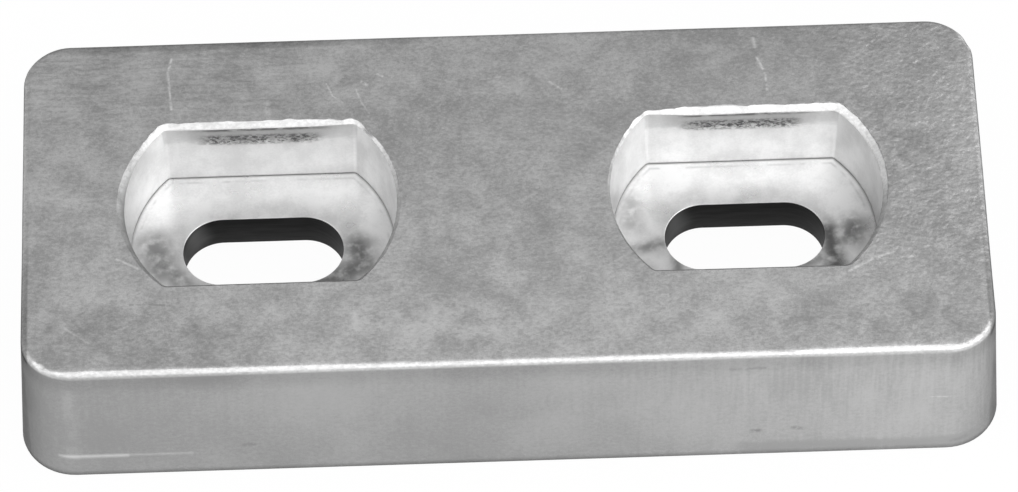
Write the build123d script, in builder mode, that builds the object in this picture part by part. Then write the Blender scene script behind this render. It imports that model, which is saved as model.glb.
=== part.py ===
"""Bolt-on block anode for a hull: a zinc casting poured round a slotted steel bar.

Millimetres, +Z up. The origin is the middle of the face that lies on the hull, and X runs
along the block.
"""

from build123d import *
import os

# Casting, measured round its base
base_length = 153.6
base_width = 66.9
block_height = 25.4
base_corner_radius = 8.7
side_draft = 3.1
top_edge_radius = 0.8
base_edge_radius = 0.4

# Slots for the two hull bolts
slot_spacing = 76.2
slot_length = 25.4
slot_width = 12.7
slot_edge_break = 0.25

# Steel bar that carries the slots, and how far it runs past them
bar_width = 31.75
bar_thickness = 6.35
bar_end_margin = 12.7
bar_underside = 6.05
bar_length = slot_spacing + slot_length + 2 * bar_end_margin
bar_top = bar_underside + bar_thickness

# Double-D pockets above and below each slot, measured where they meet the bar
pocket_diameter = 41.9
pocket_side_lap = 1.125
pocket_draft = 1.8
pocket_corner_radius = 1.2
pocket_flat_width = bar_width - 2 * pocket_side_lap
recess_depth = block_height - bar_top
recess_rim_radius = 1.0
base_rim_break = 0.5

# Both pocket outlines: a circle round each slot, cut flat in front and behind inside the bar's width
with BuildSketch() as pocket_outline:
    with GridLocations(slot_spacing, 0, 2, 1):
        Circle(pocket_diameter / 2)
    Rectangle(base_length, pocket_flat_width, mode=Mode.INTERSECT)
    fillet(pocket_outline.vertices(), pocket_corner_radius)

with BuildPart() as anode_casting:
    # Drafted block, narrowing upwards
    with BuildSketch():
        RectangleRounded(base_length, base_width, base_corner_radius)
    extrude(amount=block_height, taper=side_draft)
    outer_faces = anode_casting.faces().sort_by(Axis.Z)
    fillet(outer_faces[-1].edges(), top_edge_radius)
    fillet(outer_faces[0].edges(), base_edge_radius)

    # Recesses for the bolt heads, opening upwards from the bar
    with BuildSketch(Plane.XY.offset(bar_top)):
        add(pocket_outline.sketch)
    extrude(amount=recess_depth, taper=-pocket_draft, mode=Mode.SUBTRACT)
    top_face = anode_casting.faces().filter_by(Axis.Z).sort_by(Axis.Z)[-1]
    fillet(top_face.inner_wires().edges(), recess_rim_radius)

    # Pockets of the same outline under the bar, opening downwards
    with BuildSketch(Plane.XY.offset(bar_underside)):
        add(pocket_outline.sketch)
    extrude(amount=-bar_underside, taper=-pocket_draft, mode=Mode.SUBTRACT)
    base_face = anode_casting.faces().filter_by(Axis.Z).sort_by(Axis.Z)[0]
    chamfer(base_face.inner_wires().edges(), base_rim_break)

    # Bed that the bar fills
    with BuildSketch(Plane.XY.offset(bar_underside)):
        Rectangle(bar_length, bar_width)
    extrude(amount=bar_thickness, mode=Mode.SUBTRACT)

with BuildPart() as insert_bar:
    with BuildSketch(Plane.XY.offset(bar_underside)):
        Rectangle(bar_length, bar_width)
        with GridLocations(slot_spacing, 0, 2, 1):
            SlotOverall(slot_length, slot_width, mode=Mode.SUBTRACT)
    extrude(amount=bar_thickness)
    bar_top_face = insert_bar.faces().filter_by(Axis.Z).sort_by(Axis.Z)[-1]
    chamfer(bar_top_face.inner_wires().edges(), slot_edge_break)

anode_casting.part.label = "anode_casting"
insert_bar.part.label = "insert_bar"

os.makedirs("parts", exist_ok=True)
export_step(anode_casting.part, "parts/anode_casting.step")
export_step(insert_bar.part, "parts/insert_bar.step")
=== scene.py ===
"""Looks of the bolt-on block anode: a zinc casting poured round a slotted, galvanised steel bar."""

import math

import bmesh
import bpy
from mathutils import Matrix, Vector, noise
from mathutils.kdtree import KDTree


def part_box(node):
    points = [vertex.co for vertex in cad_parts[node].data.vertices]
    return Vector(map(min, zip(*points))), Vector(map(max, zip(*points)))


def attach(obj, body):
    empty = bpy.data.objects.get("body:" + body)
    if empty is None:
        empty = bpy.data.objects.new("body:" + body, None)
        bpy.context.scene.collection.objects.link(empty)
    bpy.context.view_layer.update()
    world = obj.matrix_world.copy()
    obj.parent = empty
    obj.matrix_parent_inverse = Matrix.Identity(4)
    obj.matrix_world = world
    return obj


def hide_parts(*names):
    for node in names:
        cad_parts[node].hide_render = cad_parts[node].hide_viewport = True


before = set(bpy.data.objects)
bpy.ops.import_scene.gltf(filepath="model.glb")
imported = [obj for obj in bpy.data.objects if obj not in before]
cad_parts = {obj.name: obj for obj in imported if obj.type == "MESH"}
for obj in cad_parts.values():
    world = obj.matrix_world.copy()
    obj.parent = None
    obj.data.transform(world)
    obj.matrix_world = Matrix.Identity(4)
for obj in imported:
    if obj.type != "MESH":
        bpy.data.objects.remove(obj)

bpy.context.view_layer.update()

MM = 0.001

# Sizes taken from the frame
casting_low, casting_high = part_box("anode_casting")
bar_low, bar_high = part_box("insert_bar")
block_length = casting_high.x - casting_low.x
block_width = casting_high.y - casting_low.y
block_height = casting_high.z
bar_length = bar_high.x - bar_low.x
bar_width = bar_high.y - bar_low.y
bar_top = bar_high.z
bar_underside = bar_low.z
bar_middle = (bar_top + bar_underside) / 2

# Casting
corner_radius = 8.7 * MM
side_draft = math.radians(3.1)
base_edge = 0.4 * MM

# Slots and the double-D pockets round them, measured where the pockets meet the bar
slot_spacing = 76.2 * MM
sides = (("left", -slot_spacing / 2), ("right", slot_spacing / 2))
slot_length = 25.4 * MM
slot_width = 12.7 * MM
slot_edge = 0.1 * MM
pocket_radius = 20.95 * MM
pocket_side_lap = 1.125 * MM
pocket_flat = bar_width / 2 - pocket_side_lap
pocket_draft = math.radians(1.8)
pocket_crease_cut = 0.49 * MM
pocket_growth = (block_height - bar_top) * math.tan(pocket_draft)
seam_gap = 0.07 * MM
sharp_edge = math.radians(40)
overshoot = 1.6 * MM

# How wide each edge was filed, in millimetres. Along the front it goes by place along the block, in
# millimetres, and round a pocket by angle, anticlockwise from +X: 90 is the rear and 180 the left.
front_edge_filing = (
    (-77, 0.8), (-71, 0.95), (-67, 1.3), (-48, 1.2), (-19, 0.95), (5, 0.9), (43, 0.95), (52, 1.25),
    (68, 1.3), (72, 1.0), (77, 0.85))
rear_edge_filing = 0.7
left_edge_filing = 0.9
right_edge_filing = 0.95
left_rim_filing = (
    (0, 0.7), (35, 0.5), (47, 0.6), (60, 0.9), (120, 0.95), (135, 0.8), (150, 0.75), (165, 1.0),
    (180, 1.2), (200, 0.9), (225, 0.6), (315, 0.55), (335, 0.65), (360, 0.7))
right_rim_filing = (
    (0, 0.9), (20, 1.05), (45, 1.1), (60, 0.95), (80, 0.9), (95, 1.0), (115, 1.1), (125, 0.8),
    (134, 0.5), (160, 0.4), (210, 0.4), (240, 0.5), (300, 0.55), (330, 0.7), (360, 0.9))
even_filing = 1.0 * MM
# How far outside a pocket's outline an edge still belongs to its mouth
mouth_reach = 2.5 * MM
# How flat the edges were filed, 1 being dead flat
mouth_flatness = 1.0
outer_flatness = 0.1
# How far forward the painted highlight on a pocket's rim reaches, by place along the block, in
# millimetres
rim_highlight_reach = ((-60, 8), (-39, 8), (-37, 1), (-10, 1), (10, 5), (37, 5), (39, -5), (60, -5))
# How far across a filed flat each row of its vertices lies, from the top face to the wall
flat_rows = (0.0, 0.22, 0.44, 0.56, 0.78, 1.0)
filing_step = 2.5 * MM

# Steps that curves are made in
corner_steps = 14
disc_steps = 132
crease_steps = 5
slot_end_steps = 24
fine_edge_steps = 2

# Cells that the outer skin is cut into, so that it can carry waves and nicks
skin_cell = 0.6 * MM
wall_cell = 1.3 * MM
bar_cell = 1.2 * MM
smallest_edge = 0.045 * MM
weld_distance = 1e-7
cut_distance = 1e-6
soft_shading_limit = math.radians(35)

# Unevenness of the cast skin: the size and depth of its swells in millimetres, and their seeds
wave_size = (14, 14, 14)
wave_depth = 0.07
wave_seed = 3.1
peel_size = (1.9, 1.6, 3.0)
peel_depth = 0.065
peel_seed = 8.2
even_peel = 0.25
peel_band = (38 * MM, 62 * MM)
ragged_size = (1.6, 1.6, 1.6)
ragged_depth = 0.28
ragged_seed = 5.3
loose_size = (2.7, 2.7, 2.7)
loose_share = 0.4
loose_seed = 1.9
ragged_fade = 1.0 * MM
rear_rim_band = (8 * MM, 14 * MM)
# Nothing is uneven below this height, so that the block stands level
plain_foot = 0.3 * MM
# How far down from the top the rims and the filed edges reach
rim_depth = 2 * MM
filed_depth = 2.2 * MM
# Parting line low on the front; what it stands out by is in millimetres
parting_height = 4.9 * MM
parting_reach = 0.13 * MM
parting_stand = 0.03

# Dents, each with its place, its reach and its depth in millimetres
dents = (
    ((-75.6, 23.4, 25.3), 1.1, 0.35),
    ((-75.5, 20.2, 25.3), 0.8, 0.15),
    ((74.6, 27.6, 25.2), 1.6, 0.25),
    ((75.3, 12, 25.3), 0.7, 0.15),
    ((38.1, -33.1, 6.1), 0.8, 0.12),
    ((44.6, -33.1, 6.5), 0.8, 0.12),
    ((38.9, -32.3, 22), 0.8, 0.1),
    ((-40.9, -33.1, 6.7), 0.7, 0.08),
    ((-72.4, -30.2, 25.3), 0.8, 0.25),
    ((-70.8, -31.7, 25.2), 0.7, 0.2),
)


# ---- Meshes ----

def finish_mesh(shape):
    """Welds the doubles and turns every face outwards."""
    bmesh.ops.remove_doubles(shape, verts=shape.verts, dist=weld_distance)
    bmesh.ops.recalc_face_normals(shape, faces=shape.faces)


def put_in_scene(name, data):
    """Makes an object of a mesh, lamp or camera and puts it in the scene."""
    made = bpy.data.objects.new(name, data)
    bpy.context.scene.collection.objects.link(made)
    return made


def piece_from(shape, name, centre=0.0):
    """Makes an object of a bmesh, moved along the block to its centre, and frees the bmesh."""
    bmesh.ops.translate(shape, verts=shape.verts, vec=(centre, 0, 0))
    mesh = bpy.data.meshes.new(name)
    shape.to_mesh(mesh)
    shape.free()
    return put_in_scene(name, mesh)


def rounded_face(shape, length, width, radius, height, segments):
    """A flat face with rounded corners, centred, facing up."""
    made = bmesh.ops.create_grid(
        shape, x_segments=1, y_segments=1, size=0.5, matrix=Matrix.Diagonal((length, width, 1, 1)))
    bmesh.ops.bevel(
        shape, geom=made["verts"], offset=radius, offset_type="OFFSET", segments=segments,
        profile=0.5, affect="VERTICES", material=-1)
    bmesh.ops.remove_doubles(shape, verts=shape.verts, dist=weld_distance)
    bmesh.ops.translate(shape, verts=shape.verts, vec=(0, 0, height))
    return shape.faces[:]


def double_d_face(shape, growth, height):
    """A pocket's outline as a face: a disc with two flats and softened creases."""
    bmesh.ops.create_circle(shape, cap_ends=True, segments=disc_steps, radius=pocket_radius + growth)
    for side in (1, -1):
        bmesh.ops.bisect_plane(
            shape, geom=shape.verts[:] + shape.edges[:] + shape.faces[:],
            plane_co=(0, side * (pocket_flat + growth), 0), plane_no=(0, side, 0), clear_outer=True)
    flat = pocket_flat + growth - cut_distance
    creases = [v for v in shape.verts if abs(v.co.y) > flat]
    bmesh.ops.bevel(
        shape, geom=creases, offset=pocket_crease_cut, offset_type="OFFSET", segments=crease_steps,
        profile=0.5, affect="VERTICES", material=-1)
    bmesh.ops.translate(shape, verts=shape.verts, vec=(0, 0, height))
    return shape.faces[:]


def draw_out(shape, faces, height, draft):
    """Draws a face up (or down) into a solid whose far end is smaller by the draft."""
    if faces[0].normal.z * height < 0:
        bmesh.ops.reverse_faces(shape, faces=faces)
    bmesh.ops.inset_region(
        shape, faces=faces, thickness=abs(height) * math.tan(draft), depth=abs(height),
        use_boundary=True, use_even_offset=True)
    bmesh.ops.holes_fill(shape, edges=shape.edges, sides=0)
    finish_mesh(shape)


def block_blank():
    """The casting before its pockets are cut."""
    shape = bmesh.new()
    faces = rounded_face(shape, block_length, block_width, corner_radius, 0, corner_steps)
    draw_out(shape, faces, block_height, side_draft)
    return piece_from(shape, "zinc_casting")


def plain_bar(name):
    """The bar as a plain flat, without its slots."""
    shape = bmesh.new()
    size = Matrix.Diagonal((bar_length, bar_width, bar_top - bar_underside, 1))
    bmesh.ops.create_cube(shape, size=1, matrix=Matrix.Translation((0, 0, bar_middle)) @ size)
    finish_mesh(shape)
    return piece_from(shape, name)


def pocket_plug(name, centre, mouth, seat):
    """What a pocket takes out of the casting, from past its mouth down into the bar's bed."""
    shape = bmesh.new()
    faces = double_d_face(shape, abs(mouth - seat) * math.tan(pocket_draft), mouth)
    draw_out(shape, faces, bar_middle - mouth, pocket_draft)
    return piece_from(shape, name, centre)


def seam_plug(name, centre):
    """The hairline seam at a pocket's foot, where the zinc met the cold bar."""
    shape = bmesh.new()
    faces = double_d_face(shape, seam_gap, bar_top - seam_gap)
    draw_out(shape, faces, 2 * seam_gap, 0)
    return piece_from(shape, name, centre)


def slot_plug(name, centre):
    """What a bolt slot takes out of the bar."""
    shape = bmesh.new()
    low = bar_underside - overshoot
    end_radius = slot_width / 2 - cut_distance
    faces = rounded_face(shape, slot_length, slot_width, end_radius, low, slot_end_steps)
    draw_out(shape, faces, bar_top + overshoot - low, 0)
    return piece_from(shape, name, centre)


def applied(piece):
    """Applies a piece's modifiers to its mesh."""
    view = bpy.context.evaluated_depsgraph_get()
    made = bpy.data.meshes.new_from_object(piece.evaluated_get(view))
    piece.modifiers.clear()
    old = piece.data
    piece.data = made
    bpy.data.meshes.remove(old)
    return piece


def cut_away(piece, plugs):
    """Takes the plugs out of a piece and throws them away."""
    for plug in plugs:
        cut = piece.modifiers.new("cut", "BOOLEAN")
        cut.operation = "DIFFERENCE"
        cut.solver = "EXACT"
        cut.object = plug
    applied(piece)
    for plug in plugs:
        bpy.data.objects.remove(plug)


def soft_step(value, low, high):
    """0 below low, 1 above high and a soft step between."""
    share = min(max((value - low) / (high - low), 0.0), 1.0)
    return share * share * (3 - 2 * share)


def along_chart(chart, place):
    """Reads a chart of (place, value) pairs, straight between its points."""
    for (start, first), (end, second) in zip(chart, chart[1:]):
        if place <= end:
            share = max(place - start, 0.0) / (end - start)
            return first + (second - first) * share
    return chart[-1][1]


def pocket_offset(place):
    """From the middle of the nearer pocket to a place, level."""
    return Vector((place.x - math.copysign(slot_spacing / 2, place.x), place.y, 0))


def pocket_reach(place):
    """Distance outside the pocket's outline at the bar, negative inside it."""
    offset = pocket_offset(place)
    return max(offset.length - pocket_radius, abs(offset.y) - pocket_flat)


def pocket_outward(place):
    """The level direction straight out of the pocket's wall."""
    offset = pocket_offset(place)
    if abs(offset.y) - pocket_flat > offset.length - pocket_radius:
        return Vector((0, math.copysign(1, offset.y), 0))
    return offset.normalized()


def rim_filing(place):
    """Width of the flat filed round a pocket's mouth, in metres."""
    offset = pocket_offset(place)
    angle = math.degrees(math.atan2(offset.y, offset.x)) % 360
    return along_chart(left_rim_filing if place.x < 0 else right_rim_filing, angle) * MM


def outer_filing(place):
    """Width of the flat filed round the top of the block, in metres."""
    side = left_edge_filing if place.x < 0 else right_edge_filing
    along = rear_edge_filing if place.y > 0 else along_chart(front_edge_filing, place.x / MM)
    corner_start = block_length / 2 - corner_radius
    share = soft_step(abs(place.x), corner_start, block_length / 2 - 2.5 * MM)
    return (along + (side - along) * share) * MM


def at_mouth(place):
    """Whether a place on the top belongs to a pocket's mouth, not to the outer edge."""
    return pocket_reach(place) < mouth_reach


def filing_at(place):
    """Width filed on an edge round the top, in metres."""
    return rim_filing(place) if at_mouth(place) else outer_filing(place)


def flatness_at(place):
    """How flat an edge was filed: the rims of the pockets flat, the outer edge round."""
    return mouth_flatness if at_mouth(place) else outer_flatness


def around_top(place):
    """Whether an edge lies round the top of the block or the mouth of a pocket."""
    return place.z > block_height - 0.1 * MM


def around_base(place):
    """Whether an edge lies round the base."""
    return place.z < 0.1 * MM


def around_slot(place):
    """Whether an edge belongs to a slot; the bar's outer edges stay square."""
    return abs(place.y) < slot_width and abs(place.x) < bar_length / 2 - 8 * MM


def runs_round(edge):
    """Whether an edge is sharp and lies level rather than running up the piece."""
    start, end = (v.co for v in edge.verts)
    level = abs(start.z - end.z) < 0.3 * (start - end).length
    return level and len(edge.link_faces) == 2 and edge.calc_face_angle() > sharp_edge


def round_edges(piece, chosen, width, segments):
    """Rounds the chosen sharp edges evenly and gives back the places where they ran."""
    shape = bmesh.new()
    shape.from_mesh(piece.data)
    edges = [e for e in shape.edges if runs_round(e) and chosen(e.verts[0].co)]
    for edge in [e for e in edges if e.calc_length() > 1.5 * filing_step]:
        bmesh.ops.subdivide_edges(shape, edges=[edge], cuts=round(edge.calc_length() / filing_step))
    edges = [e for e in shape.edges if runs_round(e) and chosen(e.verts[0].co)]
    ran = [v.co.copy() for v in {v for e in edges for v in e.verts}]
    bmesh.ops.bevel(
        shape, geom=edges, offset=width, offset_type="OFFSET", segments=segments, profile=0.5,
        affect="EDGES", clamp_overlap=False, material=-1)
    finish_mesh(shape)
    shape.to_mesh(piece.data)
    shape.free()
    return ran


def flatten_by_chart(piece, ran):
    """Makes the even rounding as wide, and as flat, as each stretch of it was filed."""
    nearest = KDTree(len(ran))
    for index, place in enumerate(ran):
        nearest.insert(place, index)
    nearest.balance()
    rows = [[] for place in ran]
    for vert in piece.data.vertices:
        if vert.co.z > block_height - 1.5 * even_filing:
            rows[nearest.find(vert.co)[1]].append(vert)
    for place, row in zip(ran, rows):
        share = filing_at(place) / even_filing
        row.sort(key=lambda vert: -vert.co.z)
        for vert in row:
            vert.co = place + (vert.co - place) * share
        if len(row) == len(flat_rows):
            top, foot = row[0].co.copy(), row[-1].co.copy()
            for vert, across in zip(row, flat_rows):
                vert.co = vert.co.lerp(top.lerp(foot, across), flatness_at(place))


def sliced(shape, faces, place, normal):
    """Cuts faces along a plane and gives back the faces that come of it."""
    edges = {e for f in faces for e in f.edges}
    verts = {v for f in faces for v in f.verts}
    done = bmesh.ops.bisect_plane(
        shape, geom=list(verts) + list(edges) + faces, plane_co=place, plane_no=normal,
        dist=cut_distance)
    return [g for g in done["geom"] if isinstance(g, bmesh.types.BMFace)]


def cut_into_cells(shape, choose, axis, size):
    """Cuts the chosen faces into bands of one size along an axis, halving again and again."""
    faces = [f for f in shape.faces if choose(f)]
    places = [v.co[axis] for f in faces for v in f.verts]
    low, high = min(places), max(places)
    count = max(round((high - low) / size), 1)
    cuts = [low + (high - low) * i / count for i in range(1, count)]
    normal = Vector([1.0 if i == axis else 0.0 for i in range(3)])

    def halve(faces, first, last):
        if first >= last or not faces:
            return
        half = (first + last) // 2
        cut_faces = sliced(shape, faces, normal * cuts[half], normal)
        below = [f for f in cut_faces if f.calc_center_median()[axis] < cuts[half]]
        above = [f for f in cut_faces if f.calc_center_median()[axis] >= cuts[half]]
        halve(below, first, half)
        halve(above, half + 1, last)

    halve(faces, 0, len(cuts))


def smooth_by_angle(shape, limit, level_below):
    """Smooth shading, apart from edges sharper than the limit and level faces below a height."""
    for face in shape.faces:
        level = abs(face.normal.z) > 0.9999 and face.calc_center_median().z < level_below
        face.smooth = not level
    for edge in shape.edges:
        sharp = len(edge.link_faces) == 2 and edge.calc_face_angle() > limit
        edge.smooth = not sharp


def ripple(place, size, seed):
    """A smooth random value from -1 to 1 whose swells have this size in millimetres."""
    spot = [axis / (MM * length) for axis, length in zip(place, size)]
    return noise.noise(Vector(spot) + Vector((seed, seed * 1.7, seed * 0.6)))


def on_skin(face):
    """The faces seen from outside, without the base and the bed that the bar fills."""
    middle = face.calc_center_median()
    if middle.z > bar_top:
        return True
    return pocket_reach(middle) > 3 * MM and abs(face.normal.z) < 0.9 and not in_bar_bed(middle)


def in_bar_bed(place):
    """Whether a place is on the walls of the bed that the bar fills."""
    within = 0.05 * MM
    return (abs(place.x) < bar_length / 2 + within and abs(place.y) < bar_width / 2 + within
            and bar_underside - within < place.z < bar_top + within)


def peel_share(place):
    """How far the skin is puckered like orange peel: at the right end, and a little elsewhere."""
    right_end = soft_step(place.x, *peel_band)
    return even_peel + (1 - even_peel) * right_end


def skin_depth(place, normal):
    """How far the skin sinks below the ideal face, in millimetres."""
    wave = wave_depth * (0.5 + 0.5 * ripple(place, wave_size, wave_seed))
    peel = peel_depth * (0.5 + 0.5 * ripple(place, peel_size, peel_seed))
    level = soft_step(normal.z, 0.75, 0.98)
    return wave + level * peel_share(place) * peel


def parting_ridge(place):
    """How far the parting line stands out of the front face, in millimetres."""
    beside = abs(place.z - parting_height)
    along = soft_step(place.x, -72 * MM, -70 * MM) * soft_step(-place.x, 46 * MM, 56 * MM)
    return parting_stand * along * max(1 - beside / parting_reach, 0) if on_front(place) else 0.0


def on_front(place):
    """Whether a place is on the front face."""
    return place.y < -block_width / 2 + 2.5 * MM


def dent_depth(place):
    """How far the dents sink the skin here, in millimetres."""
    depth = 0.0
    for middle, reach, sunk in dents:
        away = (place - Vector(middle) * MM).length
        depth += sunk * soft_step(reach * MM - away, 0, reach * MM)
    return depth


def ragged_rim(place):
    """How the upper border of a pocket's rim wanders sideways, as a shift in metres."""
    filed = rim_filing(place)
    beyond = pocket_reach(place) - pocket_growth - filed
    if beyond > ragged_fade:
        return Vector((0, 0, 0))
    rear = 0.25 + 0.75 * soft_step(place.y, *rear_rim_band)
    fade = 1 - soft_step(beyond, 0, ragged_fade)
    fade *= soft_step(place.z, block_height - filed, block_height)
    nibble = ripple(place, ragged_size, ragged_seed)
    nibble += loose_share * ripple(place, loose_size, loose_seed)
    return pocket_outward(place) * (ragged_depth * MM * rear * fade * nibble)


def weather_casting(shape):
    """Gives the cast skin its waves, orange peel, parting line and nibbled rims."""
    shape.normal_update()
    moves = []
    for vert in shape.verts:
        place = vert.co
        if place.z < plain_foot or in_bar_bed(place):
            continue
        sink = skin_depth(place, vert.normal) + dent_depth(place) - parting_ridge(place)
        move = vert.normal * (-sink * MM)
        if place.z > block_height - rim_depth:
            move += ragged_rim(place)
        moves.append((vert, move))
    for vert, move in moves:
        vert.co += move
        vert.co.z = min(vert.co.z, block_height)


def note_edge_highlight(piece):
    """Notes on each vertex how strong the painted highlight on the filed edges round the top is, by the
    tilt of its normal and by its side.
    """
    filed = piece.data.attributes.new("filed", "FLOAT", "POINT")
    for vert, note in zip(piece.data.vertices, filed.data):
        tilt = abs(vert.normal.z) if vert.co.z > block_height - filed_depth else 1.0
        turned = soft_step(tilt, 0.25, 0.6) * (1 - soft_step(tilt, 0.78, 0.95))
        note.value = turned * edge_highlight_share(vert.co)


def edge_highlight_share(place):
    """How strong the painted highlight on an edge is: the front edge and the rear of each pocket most
    of all.
    """
    if at_mouth(place):
        fades = along_chart(rim_highlight_reach, place.x / MM) * MM
        return 0.1 + 0.9 * soft_step(place.y, fades, fades + 7 * MM)
    return soft_step(-place.y, block_width / 2 - 6 * MM, block_width / 2 - 2 * MM)


def coat(piece, *finishes):
    """Gives a piece its finishes, in the order that its faces count them."""
    piece.data.materials.clear()
    for finish in finishes:
        piece.data.materials.append(finish)


def make_casting():
    """The zinc casting: drafted block, double-D pockets, bar bed, filed edges and cast skin."""
    casting = block_blank()
    plugs = [plain_bar("bar_bed")]
    for side, centre in sides:
        plugs.append(pocket_plug(side + "_mouth", centre, block_height + overshoot, bar_top))
        plugs.append(pocket_plug(side + "_base", centre, -overshoot, bar_underside))
        plugs.append(seam_plug(side + "_seam", centre))
    cut_away(casting, plugs)
    round_edges(casting, around_base, base_edge, fine_edge_steps)
    ran = round_edges(casting, around_top, even_filing, len(flat_rows) - 1)
    flatten_by_chart(casting, ran)
    coat(casting, weathered_zinc(), chilled_zinc())
    shape = bmesh.new()
    shape.from_mesh(casting.data)
    for axis, size in enumerate((skin_cell, skin_cell, wall_cell)):
        cut_into_cells(shape, on_skin, axis, size)
    for height in (parting_height - parting_reach, parting_height, parting_height + parting_reach):
        front = [f for f in shape.faces if on_front(f.calc_center_median())]
        sliced(shape, front, (0, 0, height), (0, 0, 1))
    bmesh.ops.remove_doubles(shape, verts=shape.verts, dist=smallest_edge)
    bmesh.ops.dissolve_degenerate(shape, dist=smallest_edge / 2, edges=shape.edges)
    for face in shape.faces:
        in_pocket = pocket_reach(face.calc_center_median()) < pocket_growth + 0.05 * MM
        face.material_index = 1 if in_pocket and abs(face.normal.z) < 0.5 else 0
    weather_casting(shape)
    smooth_by_angle(shape, soft_shading_limit, base_edge)
    shape.to_mesh(casting.data)
    shape.free()
    note_edge_highlight(casting)
    return casting


def make_bar():
    """The slotted steel bar, bright on its faces and dark on the walls of its slots."""
    bar = plain_bar("slotted_steel_bar")
    cut_away(bar, [slot_plug(side + "_slot", centre) for side, centre in sides])
    round_edges(bar, around_slot, slot_edge, fine_edge_steps)
    coat(bar, galvanised_bar(), dark_scale())
    shape = bmesh.new()
    shape.from_mesh(bar.data)
    for axis in (0, 1):
        cut_into_cells(shape, lambda face: abs(face.normal.z) > 0.9, axis, bar_cell)
    for face in shape.faces:
        middle = face.calc_center_median()
        in_slot = abs(middle.y) < slot_width / 2 + slot_edge and abs(face.normal.z) < 0.3
        face.material_index = 1 if in_slot and abs(middle.x) < bar_length / 2 - 1 * MM else 0
    smooth_by_angle(shape, soft_shading_limit, block_height)
    shape.to_mesh(bar.data)
    shape.free()
    return bar


# ---- Finishes ----

def add(tree, kind, inputs=None, **settings):
    """Adds a shader node; an input may be a number, a colour or another node's socket."""
    made = tree.nodes.new("ShaderNode" + kind)
    for name, value in settings.items():
        setattr(made, name, value)
    for name, value in (inputs or {}).items():
        if isinstance(value, bpy.types.NodeSocket):
            tree.links.new(value, made.inputs[name])
        else:
            made.inputs[name].default_value = value
    return made


def calc(tree, operation, first, second=0.0, third=0.0):
    """One step of arithmetic on values."""
    made = add(tree, "Math", {0: first, 1: second, 2: third}, operation=operation)
    return made.outputs[0]


def times(tree, *values):
    """The product of several values."""
    product = values[0]
    for value in values[1:]:
        product = calc(tree, "MULTIPLY", product, value)
    return product


def vector_calc(tree, operation, first, second, output=0):
    """One step of arithmetic on vectors."""
    made = add(tree, "VectorMath", {0: first, 1: second}, operation=operation)
    return made.outputs[output]


def place_on_piece(tree):
    """Object coordinates, in metres."""
    return add(tree, "TexCoord").outputs["Object"]


def place_parts(tree):
    """The three object coordinates, in metres."""
    parts = add(tree, "SeparateXYZ", {0: place_on_piece(tree)})
    return parts.outputs[0], parts.outputs[1], parts.outputs[2]


def grain(tree, size, detail=3.0, stretch=(1, 1, 1), roughness=0.55, distortion=0.0, seed=0.0):
    """Noise whose features have this size, drawn out along an axis by the stretch."""
    scale = [1 / (size * s) for s in stretch]
    mapped = add(tree, "Mapping", {
        "Vector": place_on_piece(tree), "Location": (seed, seed, seed), "Scale": scale})
    made = add(tree, "TexNoise", {
        "Vector": mapped.outputs[0], "Scale": 1.0, "Detail": detail, "Roughness": roughness,
        "Distortion": distortion})
    return made.outputs["Fac"]


def spread(tree, value, low, high, start=0.0, end=1.0, step="SMOOTHSTEP"):
    """Maps the range low-high to start-end, in a soft step unless told otherwise."""
    made = add(tree, "MapRange", {
        "Value": value, "From Min": low, "From Max": high, "To Min": start, "To Max": end},
        interpolation_type=step)
    return made.outputs["Result"]


def blended(tree, layers):
    """The weighted sum of several layers, given as (value, weight) pairs."""
    total = calc(tree, "MULTIPLY", *layers[0])
    for value, weight in layers[1:]:
        total = calc(tree, "MULTIPLY_ADD", value, weight, total)
    return total


def strokes(tree, marks):
    """A mask of short marks, each given as start, end, width and strength."""
    here = place_on_piece(tree)
    total = 0.0
    for start, end, width, strength in marks:
        first = Vector(start) * MM
        along = (Vector(end) - Vector(start)) * MM
        offset = vector_calc(tree, "SUBTRACT", here, first)
        share = vector_calc(tree, "DOT_PRODUCT", offset, along / max(along.length_squared, 1e-12), 1)
        share = add(tree, "Clamp", {0: share}).outputs[0]
        reached = add(tree, "VectorMath", {0: along, "Scale": share}, operation="SCALE")
        gap = vector_calc(tree, "DISTANCE", offset, reached.outputs[0], 1)
        mark = spread(tree, gap, 0.0, width * MM, strength, 0.0)
        total = calc(tree, "MAXIMUM", mark, total)
    return total


def raised(marks, height):
    """Level marks, lifted to the face that they lie on."""
    lift = height / MM
    return [((*start, lift), (*end, lift), width, strength) for start, end, width, strength in marks]


def mixed(tree, share, under, over):
    """One colour laid over another, by a share."""
    made = add(tree, "Mix", {0: share, 6: under, 7: over}, data_type="RGBA")
    return made.outputs[2]


def grey(value):
    """A plain grey as a colour."""
    return (value, value, value, 1.0)


def greys(tree, dark, light, share):
    """A grey between two, by a share."""
    return mixed(tree, share, grey(dark), grey(light))


def scaled_grey(tree, colour, factor):
    """A grey made lighter or darker by a factor."""
    made = add(tree, "VectorMath", {0: colour, "Scale": factor}, operation="SCALE")
    return made.outputs[0]


def darkened(tree, colour, share):
    """A colour with a share of its light taken away."""
    return scaled_grey(tree, colour, calc(tree, "SUBTRACT", 1.0, share))


def across_pocket(tree):
    """Place across the nearer pocket, from its middle outwards, in metres."""
    x = place_parts(tree)[0]
    return calc(tree, "SUBTRACT", calc(tree, "ABSOLUTE", x), slot_spacing / 2)


def near_middle(tree, fade_start, fade_end):
    """A mask round the middle of each pocket, nothing at one distance and full at the other."""
    aside = calc(tree, "ABSOLUTE", across_pocket(tree))
    return spread(tree, aside, fade_start, fade_end)


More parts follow.
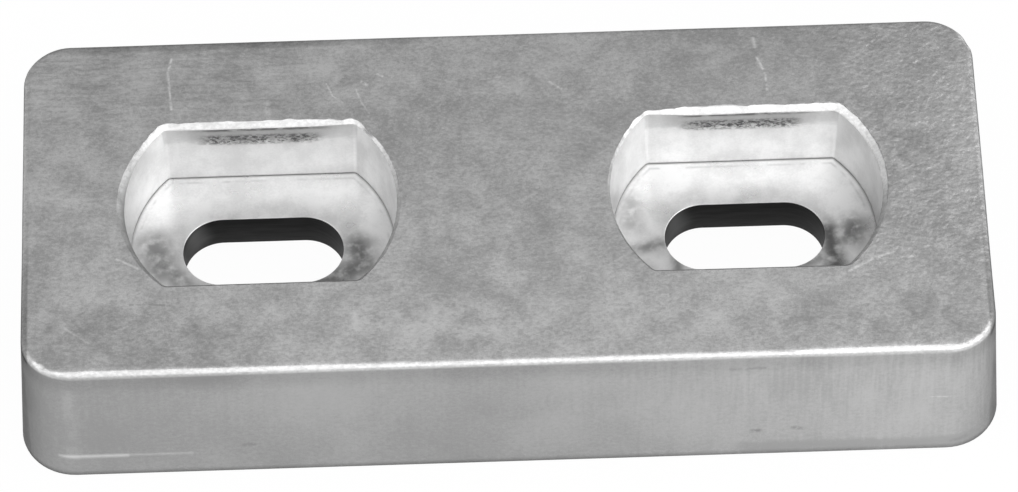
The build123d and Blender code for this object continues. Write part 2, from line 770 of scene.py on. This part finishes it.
def pocket_distance(tree):
    """Distance outside the pockets' outline at the bar, in metres."""
    across = across_pocket(tree)
    y = place_parts(tree)[1]
    squares = calc(tree, "ADD", times(tree, across, across), times(tree, y, y))
    from_round = calc(tree, "SUBTRACT", calc(tree, "SQRT", squares), pocket_radius)
    from_flat = calc(tree, "SUBTRACT", calc(tree, "ABSOLUTE", y), pocket_flat)
    return calc(tree, "MAXIMUM", from_round, from_flat)


def bumped(tree, height, distance, strength=1.0):
    """Turns a height into a surface normal."""
    made = add(tree, "Bump", {
        "Height": height, "Distance": distance, "Strength": strength})
    return made.outputs["Normal"]


def empty_tree(owner):
    """The node tree of a material or sky, emptied."""
    owner.use_nodes = True
    owner.node_tree.nodes.clear()
    return owner.node_tree


def new_finish(name, metallic, edge_tint):
    """A new material with one Principled shader."""
    finish = bpy.data.materials.new(name)
    tree = empty_tree(finish)
    shader = add(tree, "BsdfPrincipled")
    shader.inputs["Metallic"].default_value = metallic
    shader.inputs["Specular Tint"].default_value = grey(edge_tint)
    add(tree, "OutputMaterial", {0: shader.outputs[0]})
    return finish, tree, shader


def dress(tree, shader, colour, roughness, normal):
    """Gives a shader its colour, roughness and relief; a fixed roughness is set directly."""
    tree.links.new(colour, shader.inputs["Base Color"])
    if isinstance(roughness, bpy.types.NodeSocket):
        tree.links.new(roughness, shader.inputs["Roughness"])
    else:
        shader.inputs["Roughness"].default_value = roughness
    tree.links.new(normal, shader.inputs["Normal"])


# How the finishes take the light: share of bare metal, and tint at a grazing angle
bare_metal = 0.9
zinc_edge_tint = 0.12
pocket_edge_tint = 0.9
bar_edge_tint = 0.6

# Darkest and lightest grey of each finish
top_greys = (0.41, 0.66)
side_greys = (0.403, 0.523)
# Filed edges: bare zinc with a painted highlight laid over it
filed_highlight_greys = (0.62, 0.76)
pocket_greys = (0.73, 0.87)
bar_greys = (0.71, 0.86)
scale_greys = (0.007, 0.017)

# Greys of the marks
scratch_grey = grey(0.97)
dirt_grey = grey(0.1)
crust_grey = grey(0.14)
bright_reflection_grey = grey(0.97)
dark_reflection_grey = grey(0.16)
seam_dirt_and_shade_grey = grey(0.5)
slot_end_light_grey = grey(0.12)

# Roughness, from the smoothest to the roughest
skin_roughness = (0.36, 0.46)
filed_smoother = -0.08
pocket_roughness = 0.37
lap_rougher = 0.15
bar_roughness = (0.27, 0.37)
scale_roughness = 0.5

# Depth of the fine relief
skin_relief_depth = 0.12 * MM
pocket_relief_depth = 0.1 * MM
bar_relief_depth = 0.08 * MM
scale_relief_depth = 0.05 * MM

# Bands on the block: the foot, the arrises of the top, and the rear walls of the pockets
foot_band = (0.2 * MM, 1.4 * MM)
top_band = (block_height - 1.2 * MM, block_height - 0.4 * MM)
end_face = block_length / 2 - 1.4 * MM
rear_arris_band = (block_width / 2 - 3.3 * MM, block_width / 2 - 2.6 * MM)
end_arris_band = (end_face - 1.2 * MM, end_face - 0.8 * MM)
end_band = (end_face - 0.3 * MM, end_face)
rear_wall_band = (14.6 * MM, 14.9 * MM)
middle_band = (-5 * MM, 5 * MM)

# Marks on the casting, in millimetres: start, end, width and strength. Those on the top are level.
top_scratches = (
    ((-51.9, 28.9), (-52.5, 26.2), 0.35, 0.8),
    ((-52.5, 26.2), (-52.3, 22.6), 0.4, 0.55),
    ((-52.3, 22.6), (-52, 18.8), 0.35, 0.8),
    ((40.7, 29.4), (40.9, 27.6), 0.5, 0.45),
    ((41.1, 25.4), (41.9, 23.2), 0.4, 0.8),
    ((42.2, 22.4), (42.4, 19), 0.35, 0.6),
    ((-36.8, 19.2), (-36.9, 16.9), 0.9, 0.35),
    ((-27.4, 22.9), (-26.4, 20.4), 0.25, 0.55),
    ((-26.4, 20.4), (-24.9, 19.1), 0.25, 0.5),
    ((-22.8, 21.9), (-22, 19.2), 0.25, 0.55),
    ((-22, 19.2), (-20.7, 16.8), 0.25, 0.4),
    ((-21.8, 23.1), (-21, 22.4), 0.45, 0.6),
    ((-19.2, 24.6), (-18.5, 24.1), 0.4, 0.7),
    ((-3, 22.8), (0.2, 23.2), 0.25, 0.4),
    ((8, 21.9), (9.8, 20.5), 0.35, 0.5),
    ((-60.6, -10.1), (-57.3, -12), 0.35, 0.6),
    ((53.2, -16.7), (57.4, -14.2), 0.45, 0.7),
    ((57.9, -14.2), (60.4, -13.3), 0.35, 0.45),
    ((-69, -22.7), (-64.9, -25.9), 0.35, 0.3),
    ((-62.4, -24.6), (-58.9, -23), 0.35, 0.3),
    ((-23.8, -22), (-23.6, -25.4), 0.9, 0.25),
)
side_scratches = (
    ((73.2, 29.6, 25.3), (74.9, 26.4, 25.1), 0.7, 0.8),
    ((-73.2, -29.2, 25.1), (-72.7, -29.9, 25.1), 0.5, 0.7),
    ((-71.9, -30.9, 25.1), (-71.4, -31.2, 25.1), 0.5, 0.7),
    ((65.1, -32.6, 13.4), (68.3, -32.6, 13.3), 0.3, 0.3),
)
# Painted highlight along the ridge of the parting line
parting_highlight = (
    ((-70.5, -33.1, 4.9), (-60, -33.1, 4.9), 0.75, 0.4),
    ((-62, -33.1, 4.9), (-50, -33.1, 4.95), 0.6, 0.16),
)
top_dirt = (
    ((-58.5, -18.9), (-53.1, -19.1), 0.25, 0.4),
    ((-55.4, -12.5), (-54.2, -12.8), 0.5, 0.3),
)
side_dirt = (
    ((37.7, -33, 6.1), (38.7, -33, 6.2), 0.8, 0.4),
    ((44, -33, 6.7), (45.4, -33, 6.4), 0.8, 0.35),
    ((34, -32.2, 21.8), (39.3, -32.2, 22), 0.6, 0.25),
    ((-41.6, -33, 6.6), (-40.3, -33, 6.7), 0.8, 0.25),
    ((69, -32.9, 1.9), (71, -32.4, 2.3), 0.8, 0.3),
)
top_pale_patches = (
    ((-20, -21.5), (-3, -26), 8, 1.3),
    ((15, -19.5), (28, -26), 7, 0.6),
    ((-2, -6), (0.5, -16), 7, 0.5),
    ((-70, 20), (-70, -20), 8, 0.45),
    ((66, -24), (45, -27), 6, 0.4),
    ((-27, 24), (-18, 20), 6, 0.7),
    ((-6, 22), (8, 21), 6, 0.4),
)
# Painted highlight, upright, where the front face turns into the left corner
left_corner_highlight = (
    ((-68.4, -32.4, 21), (-68.4, -33.2, 5), 1.6, 0.9),
)
top_dull_patches = (
    ((-66, 31), (-30, 31.5), 7, 0.6),
    ((-45, 22), (-36, 20.5), 6, 0.6),
    ((20, 31), (62, 30), 8, 0.5),
    ((-68, -23), (-45, -26), 9.5, 1.5),
    ((-42, -20), (-34, -19.5), 4, 0.4),
    ((6, 2), (8, -8), 6, 0.35),
    ((63, 14), (69, -10), 8, 0.7),
    ((44, -26), (68, -25), 8, 0.6),
    ((-66, 22), (-46, 27), 6, 0.5),
)
side_dull_patches = (
    ((-56.5, 10.5, 25), (-60, 2, 25), 2.2, 1.6),
    ((-60, 2, 25), (-59.2, -8, 25), 2.2, 1.3),
    ((36, -32.6, 1.8), (72, -32.6, 1.8), 2.2, 1),
)


def top_and_sides(tree, top_marks, side_marks):
    """A mask of the marks on the top together with those on the sides and edges."""
    return strokes(tree, [*raised(top_marks, block_height), *side_marks])


def skin_layers(tree):
    """The patterns that the outer skin is mixed from."""
    wisp = grain(tree, 4.5 * MM, 5.0, roughness=0.6, distortion=0.4, seed=4.0)
    # The pale layer holds pale patches of the skin and the painted highlight at the left corner.
    pale = top_and_sides(tree, top_pale_patches, left_corner_highlight)
    dull = top_and_sides(tree, top_dull_patches, side_dull_patches)
    return {
        "wisp": wisp,
        "cloud": grain(tree, 22 * MM, 2.0),
        "scuff": grain(tree, 0.5 * MM, 3.0, stretch=(1.5, 1, 1), roughness=0.6, seed=9.0),
        "speck": grain(tree, 0.2 * MM, 1.0, seed=2.0),
        "pale": times(tree, pale, spread(tree, wisp, 0.3, 0.6)),
        "dull": times(tree, dull, spread(tree, wisp, 0.7, 0.3, 0.35, 1.0)),
    }


def top_skin(tree, layers):
    """Grey of the top: mottled, swept with fine lines at the left rear, with painted light making it
    paler to the front.
    """
    x, y, _ = place_parts(tree)
    left_rear = times(tree, spread(tree, x, -20 * MM, -40 * MM), spread(tree, y, 12 * MM, 20 * MM))
    sweep = grain(tree, 0.6 * MM, 3.0, stretch=(9, 1, 1), distortion=0.3, seed=13.0)
    swept = times(tree, left_rear, calc(tree, "SUBTRACT", sweep, 0.5))
    tone = blended(tree, [
        (layers["cloud"], 0.22), (layers["wisp"], 0.2), (layers["scuff"], 0.36),
        (layers["speck"], 0.22), (layers["pale"], 0.06), (layers["dull"], -0.015), (swept, 0.3)])
    skin = greys(tree, *top_greys, spread(tree, tone, 0.35, 0.65))
    # Painted light: the top is made paler towards the front.
    skin = scaled_grey(tree, skin, spread(tree, y, -30 * MM, 30 * MM, 1.08, 0.94))
    return darkened(tree, skin, times(tree, layers["dull"], 0.14))


def side_skin(tree, layers):
    """Grey of the sides: faint upright streaks, with painted shade making them darker to the left, and
    darker close under the top.
    """
    x, _, z = place_parts(tree)
    streak = grain(tree, 0.6 * MM, 3.0, stretch=(1, 1, 40), roughness=0.5, seed=6.0)
    streaked = spread(tree, x, 0.0, 60 * MM, 0.08, 0.26)
    streaked = times(tree, streaked, spread(tree, z, 2 * MM, 20 * MM, 0.5, 1.0))
    tone = blended(tree, [
        (layers["cloud"], 0.35), (layers["scuff"], 0.2), (layers["speck"], 0.15),
        (layers["dull"], -0.28), (layers["pale"], 0.1)])
    tone = calc(tree, "MULTIPLY_ADD", calc(tree, "SUBTRACT", streak, 0.5), streaked, tone)
    skin = greys(tree, *side_greys, spread(tree, tone, 0.24, 0.46))
    # Painted shade: the sides are made darker towards the left end.
    skin = scaled_grey(tree, skin, spread(tree, x, -10 * MM, 66 * MM, 0.84, 1.01))
    return scaled_grey(tree, skin, spread(tree, z, 20 * MM, 23.5 * MM, 1.0, 0.87))


def with_borders(tree, skin):
    """Paints shade along the foot, darkens the ends, and darkens the borders of the top at its left
    rear and its ends.
    """
    x, y, z = place_parts(tree)
    along = calc(tree, "ABSOLUTE", x)
    # Painted shade along the foot, where the block meets the floor.
    skin = scaled_grey(tree, skin, spread(tree, z, *foot_band, 0.68, 1.0))
    # Darker along the rear border of the top, towards the left.
    rear_border_darkening = spread(tree, x, -30 * MM, 0.0, 0.24, 0.0)
    skin = darkened(tree, skin, times(tree, spread(tree, y, *rear_arris_band), rear_border_darkening))
    skin = scaled_grey(tree, skin, spread(tree, along, *end_band, 1.0, 0.85))
    upper = spread(tree, z, block_height - 2.5 * MM, block_height - MM)
    # Darker along the top of each end, most towards the front.
    end_border_darkening = spread(tree, y, -24 * MM, 2 * MM, 0.45, 0.08)
    return darkened(tree, skin, times(tree, spread(tree, along, *end_arris_band), upper, end_border_darkening))


def with_marks(tree, skin):
    """Lays the scratches, the painted highlight along the parting line and the dirt on the skin."""
    broken = spread(tree, grain(tree, 0.7 * MM, 3.0, seed=3.0), 0.3, 0.6)
    scratches_and_parting_highlight = times(tree, top_and_sides(tree, top_scratches, side_scratches), broken)
    scratches_and_parting_highlight = calc(tree, "MAXIMUM", scratches_and_parting_highlight, strokes(tree, parting_highlight))
    skin = mixed(tree, scratches_and_parting_highlight, skin, scratch_grey)
    dirt = times(tree, top_and_sides(tree, top_dirt, side_dirt), broken)
    return mixed(tree, dirt, skin, dirt_grey)


def filed_highlight_skin(tree, layers):
    """Brighter grey of the filed edges, partly bare zinc and partly painted highlight, a little duller
    to the left.
    """
    x = place_parts(tree)[0]
    skin = greys(tree, *filed_highlight_greys, spread(tree, layers["scuff"], 0.35, 0.65))
    return scaled_grey(tree, skin, spread(tree, x, -66 * MM, 30 * MM, 0.86, 1.03))


def skin_relief(tree, layers, on_top, filed):
    """Fine relief of the outer skin, puckered at the right end and smoother where it was filed."""
    x, y, _ = place_parts(tree)
    puckered = spread(tree, x, 40 * MM, 62 * MM, 0.1, 1.0)
    puckered = times(tree, puckered, spread(tree, y, -24 * MM, -8 * MM, 0.35, 1.0))
    pucker = times(tree, grain(tree, 1.0 * MM, 1.0, seed=11.0), puckered, on_top)
    relief = blended(tree, [
        (layers["wisp"], 0.3), (layers["scuff"], 0.3), (layers["speck"], 0.12), (pucker, 1.5)])
    relief = times(tree, relief, spread(tree, filed, 0.0, 0.5, 1.0, 0.18))
    return bumped(tree, relief, skin_relief_depth, 0.9)


def weathered_zinc():
    """Outer skin of the casting: dull grey zinc, mottled, scuffed and a little stained, with a painted
    highlight on its filed edges and painted light and shade on its top, sides and foot.
    """
    finish, tree, shader = new_finish("weathered_zinc", bare_metal, zinc_edge_tint)
    layers = skin_layers(tree)
    on_top = spread(tree, place_parts(tree)[2], *top_band)
    # The filed attribute says where the painted highlight on the filed edges goes.
    filed = add(tree, "Attribute", attribute_name="filed").outputs["Fac"]
    skin = mixed(tree, on_top, side_skin(tree, layers), top_skin(tree, layers))
    skin = with_marks(tree, with_borders(tree, skin))
    skin = mixed(tree, filed, skin, filed_highlight_skin(tree, layers))
    rough = spread(tree, layers["wisp"], 0.3, 0.7, *skin_roughness)
    rough = calc(tree, "MULTIPLY_ADD", filed, filed_smoother, rough)
    dress(tree, shader, skin, rough, skin_relief(tree, layers, on_top, filed))
    return finish


def shaded_under_rim(tree, skin, rear, ragged):
    """Darkens the rear wall of a pocket under its rim, with a ragged lower border."""
    z = place_parts(tree)[2]
    centred = near_middle(tree, 13 * MM, 6 * MM)
    height = calc(tree, "MULTIPLY_ADD", ragged, 3.4 * MM, calc(tree, "SUBTRACT", z, 1.7 * MM))
    shade = times(tree, rear, spread(tree, height, 20.4 * MM, 22.4 * MM))
    shade = times(tree, shade, calc(tree, "MULTIPLY_ADD", centred, 0.45, 0.55))
    return scaled_grey(tree, skin, spread(tree, shade, 0.0, 1.0, 1.0, 0.64))


def cold_lap(tree, rear):
    """Where the cold lap lies: a band on the rear wall of each pocket, a little below its rim."""
    z = place_parts(tree)[2]
    band = times(tree, spread(tree, z, 20.2 * MM, 21.4 * MM), spread(tree, z, 23.4 * MM, 22.4 * MM))
    return times(tree, band, rear, near_middle(tree, 10.5 * MM, 7 * MM))


def lap_crust(tree, lap, rear, ragged):
    """Broken dark crust on the lap, and a broken dark line close under the rim."""
    z = place_parts(tree)[2]
    crust = grain(tree, 0.4 * MM, 4.0, stretch=(2.2, 1, 1.2), roughness=0.8, seed=8.0)
    crust = times(tree, spread(tree, crust, 0.43, 0.57), lap)
    under_rim = times(tree, spread(tree, z, 23.8 * MM, 24.2 * MM, 0.0, 0.7), rear)
    broken = spread(tree, ragged, 0.42, 0.56)
    under_rim = times(tree, under_rim, near_middle(tree, 13 * MM, 6 * MM), broken)
    return calc(tree, "MAXIMUM", crust, under_rim)


def chilled_zinc():
    """Skin of the pockets, chilled bright and smooth, with a rough cold lap under the rear rims, and
    painted light and shade on some of their walls.
    """
    finish, tree, shader = new_finish("chilled_zinc", bare_metal, pocket_edge_tint)
    x, y, z = place_parts(tree)
    cloud = grain(tree, 5 * MM, 4.0, seed=1.0)
    draw = grain(tree, 0.8 * MM, 3.0, stretch=(1.5, 1.5, 4), seed=5.0)
    speck = grain(tree, 0.35 * MM, 2.0, seed=2.0)
    ragged = grain(tree, 1.3 * MM, 4.0, stretch=(2.5, 1, 1), roughness=0.65, seed=12.0)
    rear = spread(tree, y, *rear_wall_band)
    tone = blended(tree, [(cloud, 0.6), (draw, 0.2), (speck, 0.2)])
    skin = greys(tree, *pocket_greys, spread(tree, tone, 0.36, 0.64))
    # Painted light: the right pocket is made a little brighter than the left.
    skin = scaled_grey(tree, skin, spread(tree, x, *middle_band, 1.0, 1.04))
    # Painted shade on the right wall of the right pocket.
    skin = scaled_grey(tree, skin, spread(tree, x, 50 * MM, 55 * MM, 1.0, 0.76))
    skin = shaded_under_rim(tree, skin, rear, ragged)
    # Painted shade on the rear wall of the left pocket.
    skin = darkened(tree, skin, times(tree, rear, spread(tree, x, *middle_band, 0.06, 0.0)))
    lap = cold_lap(tree, rear)
    crust = lap_crust(tree, lap, rear, ragged)
    skin = mixed(tree, crust, skin, crust_grey)
    # Painted shade along the foot of the walls, in the crease above the bar.
    skin = scaled_grey(tree, skin, spread(tree, z, bar_top, bar_top + 0.35 * MM, 0.65, 1.0))
    rough = calc(tree, "MULTIPLY_ADD", lap, lap_rougher, pocket_roughness)
    relief = blended(tree, [(cloud, 0.5), (draw, 0.2), (speck, 0.1), (crust, -0.6)])
    dress(tree, shader, skin, rough, bumped(tree, relief, pocket_relief_depth, 0.8))
    return finish


# Painted reflections on the bar's upper face, bright and dark, in millimetres: start, end, width and
# strength
bright_reflection_spots = (
    ((23.7, -3.9), (24.5, -4.4), 2.4, 0.8),
    ((19.6, 1.7), (20, 1.1), 2, 0.7),
    ((54.5, -2.7), (54.2, -4.6), 2, 0.8),
    ((-53.4, 10.6), (-52.8, 8.8), 4.4, 0.4),
)
dark_reflection_spots = (
    ((-23.2, 0.4), (-22.8, -1.6), 4.2, 0.9),
    ((-22.5, -3.2), (-29.5, -7.2), 4.3, 0.9),
    ((-52.6, -3.6), (-50.2, -7), 3, 0.75),
    ((-55.6, 1.8), (-54.2, -2.8), 4.8, 0.8),
    ((20.4, 7), (20.2, 3), 3.4, 0.55),
    ((20, -2.2), (24.6, -1), 2, 0.7),
    ((26.8, -2), (27.4, -7), 1.5, 0.7),
    ((55.4, 1), (54.8, -0.6), 4.2, 0.9),
    ((51.4, 0.4), (52.2, -6.6), 3.6, 1),
    ((50, -4.4), (44, -7.4), 2.2, 0.7),
)


def seam_dirt_and_shade(tree):
    """Dirt and painted shade in the seam round the bar, and dirt in patches along a thin flash beside
    it.
    """
    reach = pocket_distance(tree)
    seam = spread(tree, reach, -0.45 * MM, -0.05 * MM)
    patchy = spread(tree, grain(tree, 3 * MM, 2.0, seed=7.0), 0.42, 0.6)
    flash = calc(tree, "ABSOLUTE", calc(tree, "ADD", reach, 1.0 * MM))
    flash = times(tree, spread(tree, flash, 0.0, 0.35 * MM, 0.5, 0.0), patchy)
    return calc(tree, "MAXIMUM", seam, flash)


def galvanised_bar():
    """Bright coat on the bar, with painted reflections as bright and dark spots, painted light in the
    right pocket, and dirt and painted shade in the seam round it.
    """
    finish, tree, shader = new_finish("galvanised_bar", bare_metal, bar_edge_tint)
    x = place_parts(tree)[0]
    cloud = grain(tree, 5 * MM, 2.5)
    speck = grain(tree, 0.35 * MM, 2.0, seed=2.0)
    tone = blended(tree, [(cloud, 0.75), (speck, 0.25)])
    skin = greys(tree, *bar_greys, spread(tree, tone, 0.36, 0.64))
    # Painted light: the bar is made a little brighter in the right pocket.
    skin = scaled_grey(tree, skin, spread(tree, x, *middle_band, 1.0, 1.035))
    soft_edge = spread(tree, grain(tree, 1.8 * MM, 3.0, seed=5.0), 0.2, 0.6, 0.2, 1.0)
    # Painted reflections of the pocket walls, bright and dark, on the bar's upper face
    bright = times(tree, strokes(tree, raised(bright_reflection_spots, bar_top)), soft_edge)
    skin = mixed(tree, bright, skin, bright_reflection_grey)
    dull = times(tree, strokes(tree, raised(dark_reflection_spots, bar_top)), soft_edge)
    skin = mixed(tree, dull, skin, dark_reflection_grey)
    # Dirt and painted shade in the seam round the bar
    skin = mixed(tree, seam_dirt_and_shade(tree), skin, seam_dirt_and_shade_grey)
    rough = spread(tree, cloud, 0.3, 0.7, *bar_roughness)
    dress(tree, shader, skin, rough, bumped(tree, cloud, bar_relief_depth, 0.6))
    return finish


# Painted light on the left ends of the slots' walls, which face right, in millimetres
slot_end_light = (
    ((-48.9, 4.2, 10.6), (-48.4, 4.8, 8.4), 3.4, 0.9),
    ((27.3, 4.2, 10.6), (27.8, 4.8, 8.4), 3.4, 0.8),
)


def dark_scale():
    """Dark, dull scale on the punched walls of the slots, with painted light at their left ends."""
    finish, tree, shader = new_finish("dark_scale", 0.0, 1.0)
    shader.inputs["Specular IOR Level"].default_value = 0.15
    band = grain(tree, 0.9 * MM, 3.0, stretch=(8, 8, 1))
    skin = greys(tree, *scale_greys, spread(tree, band, 0.3, 0.7))
    # Painted light at the left ends of the slots
    skin = mixed(tree, strokes(tree, slot_end_light), skin, slot_end_light_grey)
    dress(tree, shader, skin, scale_roughness, bumped(tree, band, scale_relief_depth))
    return finish


# ---- Studio ----

# Camera: a long lens looking down on the block from the front
camera_target = Vector((0.89, 8.38, 0.0)) * MM
camera_distance = 1075.84 * MM
camera_azimuth = -1.071
camera_elevation = 54.18
camera_roll = -0.9247
camera_lens = 237.128
sensor_width = 36.0

softbox_elevation = 45
softbox_distance = 1.6
softbox_height = 1.85
# Softboxes: name, azimuth, width and brightness
softboxes = (
    ("left_softbox", -68, 1.6, 0.88), ("front_softbox", 0, 1.6, 0.93), ("right_softbox", 56, 1.5, 0.93),
    ("rear_right_softbox", 100, 1.0, 1.36))
sky_low = 0.84
sky_high = 0.4
sky_rear = 0.35
floor_whiteness = 0.97
floor_mirrored_whiteness = 0.53
floor_size = 3.0
floor_gap = 0.02 * MM


def direction(azimuth, elevation):
    """Towards a place on the sky; azimuth 0 is the front and 90 the right, in degrees."""
    turn = math.radians(azimuth)
    tilt = math.radians(elevation)
    return Vector((
        math.sin(turn) * math.cos(tilt), -math.cos(turn) * math.cos(tilt), math.sin(tilt)))


def place_camera():
    """The camera, aimed at its target and rolled a little."""
    data = bpy.data.cameras.new("camera")
    data.lens = camera_lens
    data.sensor_width = sensor_width
    data.sensor_fit = "HORIZONTAL"
    data.clip_start = 0.01
    camera = put_in_scene("camera", data)
    back = direction(camera_azimuth, camera_elevation)
    camera.location = camera_target + back * camera_distance
    level = back.to_track_quat("Z", "Y").to_matrix()
    camera.rotation_euler = (level @ Matrix.Rotation(math.radians(camera_roll), 3, "Z")).to_euler()
    bpy.context.scene.camera = camera


def hang_softbox(name, azimuth, width, brightness):
    """A large lamp aimed at the block; the brightness is what a mirror would show of it."""
    data = bpy.data.lights.new(name, "AREA")
    data.shape = "RECTANGLE"
    data.size = width
    data.size_y = softbox_height
    data.energy = brightness * math.pi * data.size * data.size_y
    lamp = put_in_scene(name, data)
    back = direction(azimuth, softbox_elevation)
    lamp.location = back * softbox_distance
    lamp.rotation_euler = back.to_track_quat("Z", "Y").to_euler()


def light_sky():
    """A plain pale sky, lighter at the horizon than overhead and dim straight behind."""
    world = bpy.data.worlds.new("studio")
    tree = empty_tree(world)
    toward = add(tree, "TexCoord").outputs["Generated"]
    parts = add(tree, "SeparateXYZ", {0: toward})
    brightness = spread(tree, parts.outputs[2], 0.0, 1.0, sky_low, sky_high, step="LINEAR")
    rear = spread(tree, parts.outputs[1], 0.6, 1.0, 1.0, sky_rear)
    brightness = calc(tree, "MULTIPLY", brightness, rear)
    straight = add(tree, "LightPath").outputs["Is Camera Ray"]
    brightness = calc(tree, "MAXIMUM", brightness, straight)
    sky = add(tree, "Background", {"Color": grey(1.0), "Strength": brightness})
    add(tree, "OutputWorld", {0: sky.outputs[0]})
    bpy.context.scene.world = world


def lay_floor():
    """A plain pale floor that keeps the block's shadow, shows almost white and is clear from below."""
    shape = bmesh.new()
    level = Matrix.Translation((0, 0, -floor_gap))
    bmesh.ops.create_grid(shape, x_segments=1, y_segments=1, size=floor_size / 2, matrix=level)
    floor = piece_from(shape, "floor")
    paper = bpy.data.materials.new("pale_paper")
    tree = empty_tree(paper)
    matt = add(tree, "BsdfDiffuse", {"Color": grey(0.85)})
    white = add(tree, "Emission", {"Color": grey(1.0), "Strength": 1.0})
    path = add(tree, "LightPath")
    seen = calc(tree, "MULTIPLY", path.outputs["Is Camera Ray"], floor_whiteness)
    mirrored = calc(tree, "MAXIMUM", path.outputs["Is Glossy Ray"], path.outputs["Is Transmission Ray"])
    mirrored = calc(tree, "MULTIPLY", mirrored, floor_mirrored_whiteness)
    share = calc(tree, "MAXIMUM", seen, mirrored)
    mix = add(tree, "MixShader", {0: share, 1: matt.outputs[0], 2: white.outputs[0]})
    below = add(tree, "NewGeometry").outputs["Backfacing"]
    clear = add(tree, "BsdfTransparent")
    mix = add(tree, "MixShader", {0: below, 1: mix.outputs[0], 2: clear.outputs[0]})
    add(tree, "OutputMaterial", {0: mix.outputs[0]})
    floor.data.materials.append(paper)


place_camera()
light_sky()
for softbox in softboxes:
    hang_softbox(*softbox)
lay_floor()

casting = make_casting()
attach(casting, "root")
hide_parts("anode_casting")

bar = make_bar()
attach(bar, "root")
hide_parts("insert_bar")

bpy.context.scene.view_settings.view_transform = "Standard"
